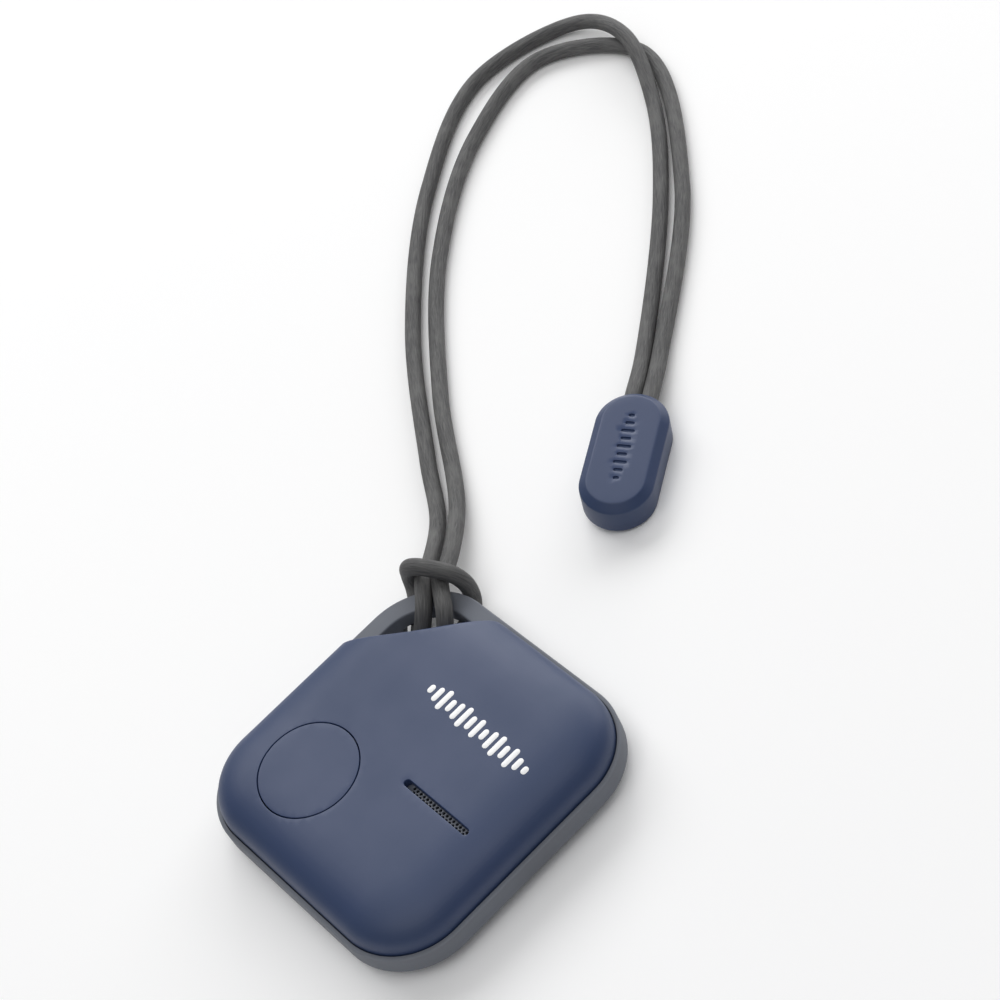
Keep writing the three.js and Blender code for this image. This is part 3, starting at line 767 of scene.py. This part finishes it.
def shell_top(p):
    depth, cut = depth_of(p), past_bite(p)
    bar = cut < SEAT_EDGE
    rim = RIM_Z - fillet_drop(depth, RIM_FILLET)
    lip = np.where(bar, 0, fillet_drop(RIM_WIDTH - depth, INNER_FILLET))
    eye = np.where(cut < 0, fillet_drop(BAR_WIDTH - depth, EYE_FILLET), 0)
    high = rim - np.maximum(lip, eye)
    low = np.where((depth > SHELL_WALL) & (cut > CAVITY_FROM_CUT), FLOOR_Z, LEDGE_Z)
    return np.where((depth < RIM_WIDTH) | bar, high, low)


def along_corner(p):
    """Distances out towards the lanyard corner, and across it."""
    return (p[:, 0] + p[:, 1]) / math.sqrt(2), (p[:, 1] - p[:, 0]) / math.sqrt(2)


def shell_bottom(p):
    depth = depth_of(p)
    left = BACK_INSET - np.clip(depth, 0, BACK_INSET)
    back = BACK_RISE * (1 - np.sqrt(np.maximum(1 - (left / BACK_INSET) ** 2, 0)))
    eye = np.where(past_bite(p) < 0, fillet_drop(BAR_WIDTH - depth, RELIEF_FILLET), 0)
    out, across = along_corner(p)
    relief = (out > RELIEF_START) & (across > RELIEF_LOW) & (across < RELIEF_HIGH) & (past_bite(p) < -0.1)
    back = np.where(relief, BAR_UNDERSIDE_Z + eye, back + eye)
    radius = np.hypot(*p.T)
    door_edge = fillet_drop(radius - DOOR_HOLE, 0.2)
    return np.where(radius < DOOR_HOLE, DOOR_STEP_Z, back + door_edge)


def corner_line(across, low, high):
    """A straight line out towards the lanyard corner, at a distance to one side of it."""
    out = np.linspace(low, high, 12)
    return np.column_stack([(out - across) / math.sqrt(2), (out + across) / math.sqrt(2)])


def seat_lines(depth):
    """The rim's inner edge past the bar at a depth, with close points next to the bar."""
    line = tag_outline(depth)
    far = parts_inside(line, lambda p: past_bite(p) > 1)
    near = parts_inside(dense(line, 0.04), lambda p: (past_bite(p) > SEAT_EDGE) & (past_bite(p) < 2.2))
    return far + near


def shell_parts():
    loops = [tag_outline(0, 36), cut_outline(BAR_WIDTH, 0, False), circle(COLLAR_HOLE, count=128)]
    guides = []

    def solid(p):
        return shell_inside(p) & (np.hypot(*p.T) > DOOR_HOLE + 0.25)

    for depth in fillet_steps(RIM_FILLET):
        guides.append((tag_outline(depth, 36), True))
    lip_depths = [RIM_WIDTH - d for d in fillet_steps(INNER_FILLET, 3)]
    for depth in lip_depths + [RIM_WIDTH - STEP, RIM_WIDTH + STEP]:
        guides += seat_lines(depth)
    for depth in [BAR_WIDTH - d for d in fillet_steps(EYE_FILLET) + fillet_steps(RELIEF_FILLET, 3)]:
        guides += parts_inside(tag_outline(depth), lambda p: past_bite(p) < 0)
    for depth in (SHELL_WALL - STEP, SHELL_WALL + STEP):
        guides += parts_inside(tag_outline(depth), lambda p: past_bite(p) > CAVITY_FROM_CUT)
    for k in range(2, 19):
        depth = BACK_INSET * (1 - math.cos(math.pi / 2 * k / 18))
        guides += parts_inside(tag_outline(depth), lambda p: solid(p) & (past_bite(p) > 0.05))
        guides += parts_inside(tag_outline(depth), lambda p: solid(p) & (past_bite(p) < -0.05))
    for offset in (SEAT_EDGE - STEP, SEAT_EDGE + STEP):
        guides.append((bite_arc(offset, RIM_WIDTH), False))
    for offset in (CAVITY_FROM_CUT - STEP, CAVITY_FROM_CUT + STEP):
        guides.append((bite_arc(offset, SHELL_WALL), False))
    for across in (RELIEF_LOW, RELIEF_HIGH):
        for side in (-STEP, STEP):
            line = dense(corner_line(across + side, RELIEF_START, 23), 0.4, False)
            guides += parts_inside(line, lambda p: (depth_of(p) > 0.005) & shell_inside(p), False)
    for radius in [DOOR_HOLE - STEP, DOOR_HOLE] + [DOOR_HOLE + d for d in fillet_steps(0.2)]:
        guides.append((circle(radius, count=128), True))
    return plate(loops, guides, shell_inside, shell_top, shell_bottom, 0.8)


add_piece("shell_moulding", shell_parts(), SHELL, "tag", "rear_shell")

# ---- Battery door -------------------------------------------------------------------------------

DOOR_RADIUS, DOOR_FACE_Z, DOOR_INNER_Z = 12, 0.15, 1.1
COLLAR_OUTER, COLLAR_INNER, COLLAR_TOP_Z = 10.9, 10.3, 2.3
COIN_SLOT_LENGTH, COIN_SLOT_WIDTH, COIN_SLOT_TOP_Z = 9.5, 1.7, 0.6


def door_parts():
    guides = [(circle(DOOR_RADIUS - d, count=128), True) for d in fillet_steps(0.2)]
    guides += [(circle(r + d, count=96), True) for r in (COLLAR_OUTER, COLLAR_INNER) for d in (-STEP, STEP)]
    for d in [-STEP, 0] + fillet_steps(0.15):
        guides.append((stadium(COIN_SLOT_LENGTH + 2 * d, COIN_SLOT_WIDTH + 2 * d), True))

    def top(p):
        r = np.hypot(*p.T)
        return np.where((r > COLLAR_INNER) & (r < COLLAR_OUTER), COLLAR_TOP_Z, DOOR_INNER_Z)

    def bottom(p):
        slot = in_stadium(p, COIN_SLOT_LENGTH, COIN_SLOT_WIDTH)
        edge = fillet_drop(DOOR_RADIUS - np.hypot(*p.T), 0.2)
        return np.where(slot > 0, COIN_SLOT_TOP_Z, DOOR_FACE_Z + np.maximum(edge, fillet_drop(-slot, 0.15)))

    disc = plate([circle(DOOR_RADIUS, count=128)], guides, lambda p: np.hypot(*p.T) < DOOR_RADIUS,
                 top, bottom, 1.0)
    lugs = [turned(block((10.6, -2, 1.8), (11.6, 2, 2.25)), 120 * i) for i in range(3)]
    return joined([disc] + lugs)


add_piece("door_moulding", door_parts(), SHELL, "door", "battery_door")

# ---- Speaker mesh -------------------------------------------------------------------------------


def mesh_parts():
    holes_in_row, pitch, row_spacing, radius = 17, 0.55, 0.42, 0.175
    centres = []
    for row, count in ((-0.5, holes_in_row), (0.5, holes_in_row - 1)):
        centres += [((i - (count - 1) / 2) * pitch, row * row_spacing) for i in range(count)]
    centres = np.array(centres)

    def inside(p):
        gaps = np.hypot(p[:, None, 0] - centres[None, :, 0], p[:, None, 1] - centres[None, :, 1])
        return (in_stadium(p, 11.8, 2.8) > 0) & (gaps.min(1) > radius)

    def top(p):
        gaps = np.hypot(p[:, None, 0] - centres[None, :, 0], p[:, None, 1] - centres[None, :, 1])
        return 7 - fillet_drop(gaps.min(1) - radius, 0.04)

    loops = [stadium(11.8, 2.8)] + [circle(radius, c, 20) for c in centres]
    guides = [(circle(radius + d, c, 20), True) for c in centres for d in fillet_steps(0.04, 2)]
    flat = plate(loops, guides, inside, top, lambda p: np.full(len(p), 6.83), 0.3)
    return turned(flat, 90, SLOT_CENTRE)


add_piece("mesh_punched", mesh_parts(), MESH, "tag", "speaker_mesh")

# ---- Printed mark: a plain row of bars ----------------------------------------------------------

PRINT_START, PRINT_END = (7.05, 3.0), (6.45, -13.2)
PRINT_BARS = [1.1, 1.9, 2.7, 1.6, 2.2, 2.75, 1.8, 2.5, 1.4, 2.3, 2.75, 1.7, 2.6, 1.6, 1.0]
PRINT_BAR_WIDTH = 0.7


def printed_bar(length, place):
    """One bar of ink, a few hundredths of a millimetre thick, laid on the domed cover."""
    def depth(p):
        return in_stadium(p - place, length, PRINT_BAR_WIDTH)

    loop = stadium(length, PRINT_BAR_WIDTH, 8) + place
    inner = stadium(length - 0.06, PRINT_BAR_WIDTH - 0.06, 8) + place
    return plate([loop], [(inner, True)], lambda p: depth(p) > 0,
                 lambda p: crown(p) + 0.02 - fillet_drop(depth(p), 0.015), lambda p: crown(p) - 0.03, 0.4)


def print_parts():
    places = np.linspace(PRINT_START, PRINT_END, len(PRINT_BARS))
    return joined([printed_bar(length, place) for length, place in zip(PRINT_BARS, places)])


add_piece("printed_bars", print_parts(), INK, "tag", None)

# ---- Bead -----------------------------------------------------------------------------------------

BEAD_LENGTH, BEAD_WIDTH, BEAD_HEIGHT = 17.3, 8.8, 4.25
BEAD_CENTRE = (43.3, 11.73)
BEAD_DEGREES, BEAD_TILT = 33.6, math.radians(8.6)
BEAD_CHAMFER, BEAD_CHAMFER_HEIGHT = 0.95, 0.9
BEAD_BARS = [0.7, 1.1, 1.6, 1.2, 1.7, 1.2, 1.6, 1.1, 0.7]
BEAD_BAR_PITCH, BEAD_BAR_WIDTH, BEAD_BAR_DEPTH, BEAD_BARS_SHIFT = 1.12, 0.45, 0.2, 0.35
BEAD_CORD_Z, BEAD_CORD_SPACING = 2.15, 2.05
POCKET_LOW, POCKET_HIGH, POCKET_HALF, POCKET_TOP_Z = -3, 4.6, 3, 3.75


def bead_profile():
    """Depth and height along the bead's chamfered shoulder, with both of its edges eased."""
    wall_top = BEAD_HEIGHT - BEAD_CHAMFER_HEIGHT
    corners = [np.array(c, float) for c in ((0, wall_top - 0.4), (0, wall_top), (BEAD_CHAMFER, BEAD_HEIGHT),
                                           (BEAD_CHAMFER + 0.4, BEAD_HEIGHT))]
    ease = 0.16
    found = []
    for before, corner, after in zip(corners, corners[1:], corners[2:]):
        start = corner + (before - corner) / np.linalg.norm(before - corner) * ease
        end = corner + (after - corner) / np.linalg.norm(after - corner) * ease
        for t in np.linspace(0, 1, 6):
            found.append((1 - t) ** 2 * start + 2 * t * (1 - t) * corner + t**2 * end)
    return np.array(found)


BEAD_PROFILE = bead_profile()
BAR_XS = (np.arange(len(BEAD_BARS)) - (len(BEAD_BARS) - 1) / 2) * BEAD_BAR_PITCH + BEAD_BARS_SHIFT


def in_bars(p):
    """How far each point lies inside the nearest engraved bar."""
    found = [in_stadium(np.column_stack([p[:, 1], p[:, 0] - x]),
                        max(length, BEAD_BAR_WIDTH + 0.01), BEAD_BAR_WIDTH)
             for x, length in zip(BAR_XS, BEAD_BARS)]
    return np.max(found, axis=0)


def bead_top(p):
    depth = in_stadium(p, BEAD_LENGTH, BEAD_WIDTH)
    top = np.interp(depth, BEAD_PROFILE[:, 0], BEAD_PROFILE[:, 1])
    groove = in_bars(p)
    return np.where(groove > 0, BEAD_HEIGHT - BEAD_BAR_DEPTH, top - fillet_drop(-groove, 0.05))


def in_pocket(p):
    return (p[:, 0] > POCKET_LOW) & (p[:, 0] < POCKET_HIGH) & (np.abs(p[:, 1]) < POCKET_HALF)


def bead_bottom(p):
    edge = fillet_drop(in_stadium(p, BEAD_LENGTH, BEAD_WIDTH), 0.2)
    return np.where(in_pocket(p), POCKET_TOP_Z, edge)


def rectangle(low_x, high_x, half, grow):
    return dense(np.array([(low_x - grow, -half - grow), (high_x + grow, -half - grow),
                           (high_x + grow, half + grow), (low_x - grow, half + grow)]), 0.8)


def bead_parts():
    loops = [stadium(BEAD_LENGTH, BEAD_WIDTH, 40)]
    guides = []
    for depth in sorted(set(np.round(np.concatenate([BEAD_PROFILE[1:, 0], fillet_steps(0.2)]), 5))):
        if depth > 1e-4:
            guides.append((stadium(BEAD_LENGTH - 2 * depth, BEAD_WIDTH - 2 * depth, 40), True))
    for grow in (-STEP, STEP):
        guides.append((rectangle(POCKET_LOW, POCKET_HIGH, POCKET_HALF, grow), True))
    for x, length in zip(BAR_XS, BEAD_BARS):
        for grow in [-STEP, 0] + fillet_steps(0.05, 2):
            line = stadium(length + 2 * grow, BEAD_BAR_WIDTH + 2 * grow, 8)
            guides.append((np.column_stack([x - line[:, 1], line[:, 0]]), True))
    return plate(loops, guides, lambda p: in_stadium(p, BEAD_LENGTH, BEAD_WIDTH) > 0,
                 bead_top, bead_bottom, 0.7)


def bead_matrix():
    lift = BEAD_WIDTH / 2 * math.sin(BEAD_TILT)
    place = Matrix.Translation(Vector((*BEAD_CENTRE, lift)) * MM)
    return place @ Matrix.Rotation(math.radians(BEAD_DEGREES), 4, "Z") @ Matrix.Rotation(BEAD_TILT, 4, "X")


def cut_mouth(bead):
    """Cuts the mouth that both strands go into, with a stadium-shaped cutter along the bead."""
    half = CORD_DIAMETER / 2 + 0.2
    outline = stadium(BEAD_CORD_SPACING + 2 * half, 2 * half, 16)
    low, high = 4.0, 12.0
    count = len(outline)
    points = [(x, a, b + BEAD_CORD_Z) for x in (low, high) for a, b in outline]
    faces = [tuple(range(count))[::-1], tuple(range(count, 2 * count))]
    faces += [(i, (i + 1) % count, (i + 1) % count + count, i + count) for i in range(count)]
    cutter = add_object("mouth_cutter", build_mesh("mouth_cutter", points, faces))
    cut = bead.modifiers.new("mouth", "BOOLEAN")
    cut.operation, cut.object, cut.solver = "DIFFERENCE", cutter, "EXACT"
    result = bpy.data.meshes.new_from_object(bead.evaluated_get(bpy.context.evaluated_depsgraph_get()))
    bead.modifiers.clear()
    bead.data = result
    bpy.data.objects.remove(cutter)
    result.set_sharp_from_angle(angle=math.radians(35))


bead = add_object("bead_moulding", build_mesh("bead_moulding", *bead_parts()))
cut_mouth(bead)
bead.data.materials.clear()
bead.data.materials.append(COVER)
bead.data.transform(bead_matrix())
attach(bead, "tag")
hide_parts("bead_body")

# ---- Materials of the CAD pieces that stay ------------------------------------------------------

CAD_FINISHES = {
    RUBBER: ["cover_gasket", "sounder_gasket", "door_seal"],
    BLACK: ["switch_body", "inner_frame", "radio_chip", "power_inductor"],
    WHITE: ["switch_plunger", "chip_antenna"],
    SOUNDER_SHADE_STEEL: ["sounder"],
    STEEL: ["coin_cell", "radio_crystal", "board_screw_1", "board_screw_2", "cord_crimp"],
    BRASS: ["cell_contact_top", "cell_contact_side"],
    BOARD: ["circuit_board"],
    CERAMIC: ["capacitor_1", "capacitor_2", "capacitor_3", "capacitor_4"],
    COVER: ["bead_base"],
}
for material, names in CAD_FINISHES.items():
    for name in names:
        node = nodes[name]
        if not node.material_slots:
            node.data.materials.append(material)
        for slot in node.material_slots:
            slot.material = material

# ---- Floor and lights -----------------------------------------------------------------------------


FLOOR_HALF = 3000


def add_floor():
    points = [(x * FLOOR_HALF, y * FLOOR_HALF, 0) for x, y in ((-1, -1), (1, -1), (1, 1), (-1, 1))]
    floor = add_object("floor", build_mesh("floor", points, [(0, 1, 2, 3)]))
    m = Nodes("floor_paper")
    cloud = m.noise(m.place(), 4, 2, 0.5)
    m.colour(m.mix(m.remap(cloud, 0.3, 0.7, 0, 1), (0.975, 0.975, 0.975, 1), (0.955, 0.955, 0.96, 1)))
    m.shader.inputs["Roughness"].default_value = 0.9
    m.shader.inputs["Specular IOR Level"].default_value = 0.1
    floor.data.materials.append(m.material)
    floor.location.z = -0.00002


LIGHT_TARGET = (0.02, 0.02, 0)


def add_area(name, place, size, power):
    """A rectangular soft light aimed at the middle of the scene."""
    data = bpy.data.lights.new(name, "AREA")
    data.shape = "RECTANGLE"
    data.size, data.size_y = size
    data.energy = power
    light = bpy.data.objects.new(name, data)
    light.location = place
    aim = Vector(LIGHT_TARGET) - Vector(place)
    light.rotation_euler = aim.to_track_quat("-Z", "Y").to_euler()
    bpy.context.scene.collection.objects.link(light)


def add_light():
    world = bpy.data.worlds.new("studio")
    world.use_nodes = True
    background = next(n for n in world.node_tree.nodes if n.type == "BACKGROUND")
    background.inputs["Color"].default_value = (1, 1, 1, 1)
    background.inputs["Strength"].default_value = 0.22
    bpy.context.scene.world = world
    add_area("back_softbox", (0.31, 0.97, 0.86), (1.25, 0.7), 9)
    add_area("side_softbox", (1.3, 0.7, 0.5), (1.6, 1.2), 15)
    add_area("top_softbox", (-0.2, -0.15, 1.5), (1.3, 1.3), 7.5)
    add_area("fill_softbox", (-0.8, -0.8, 1.35), (2.0, 1.8), 3.5)
    bpy.context.scene.view_settings.view_transform = "Standard"


add_floor()
add_light()
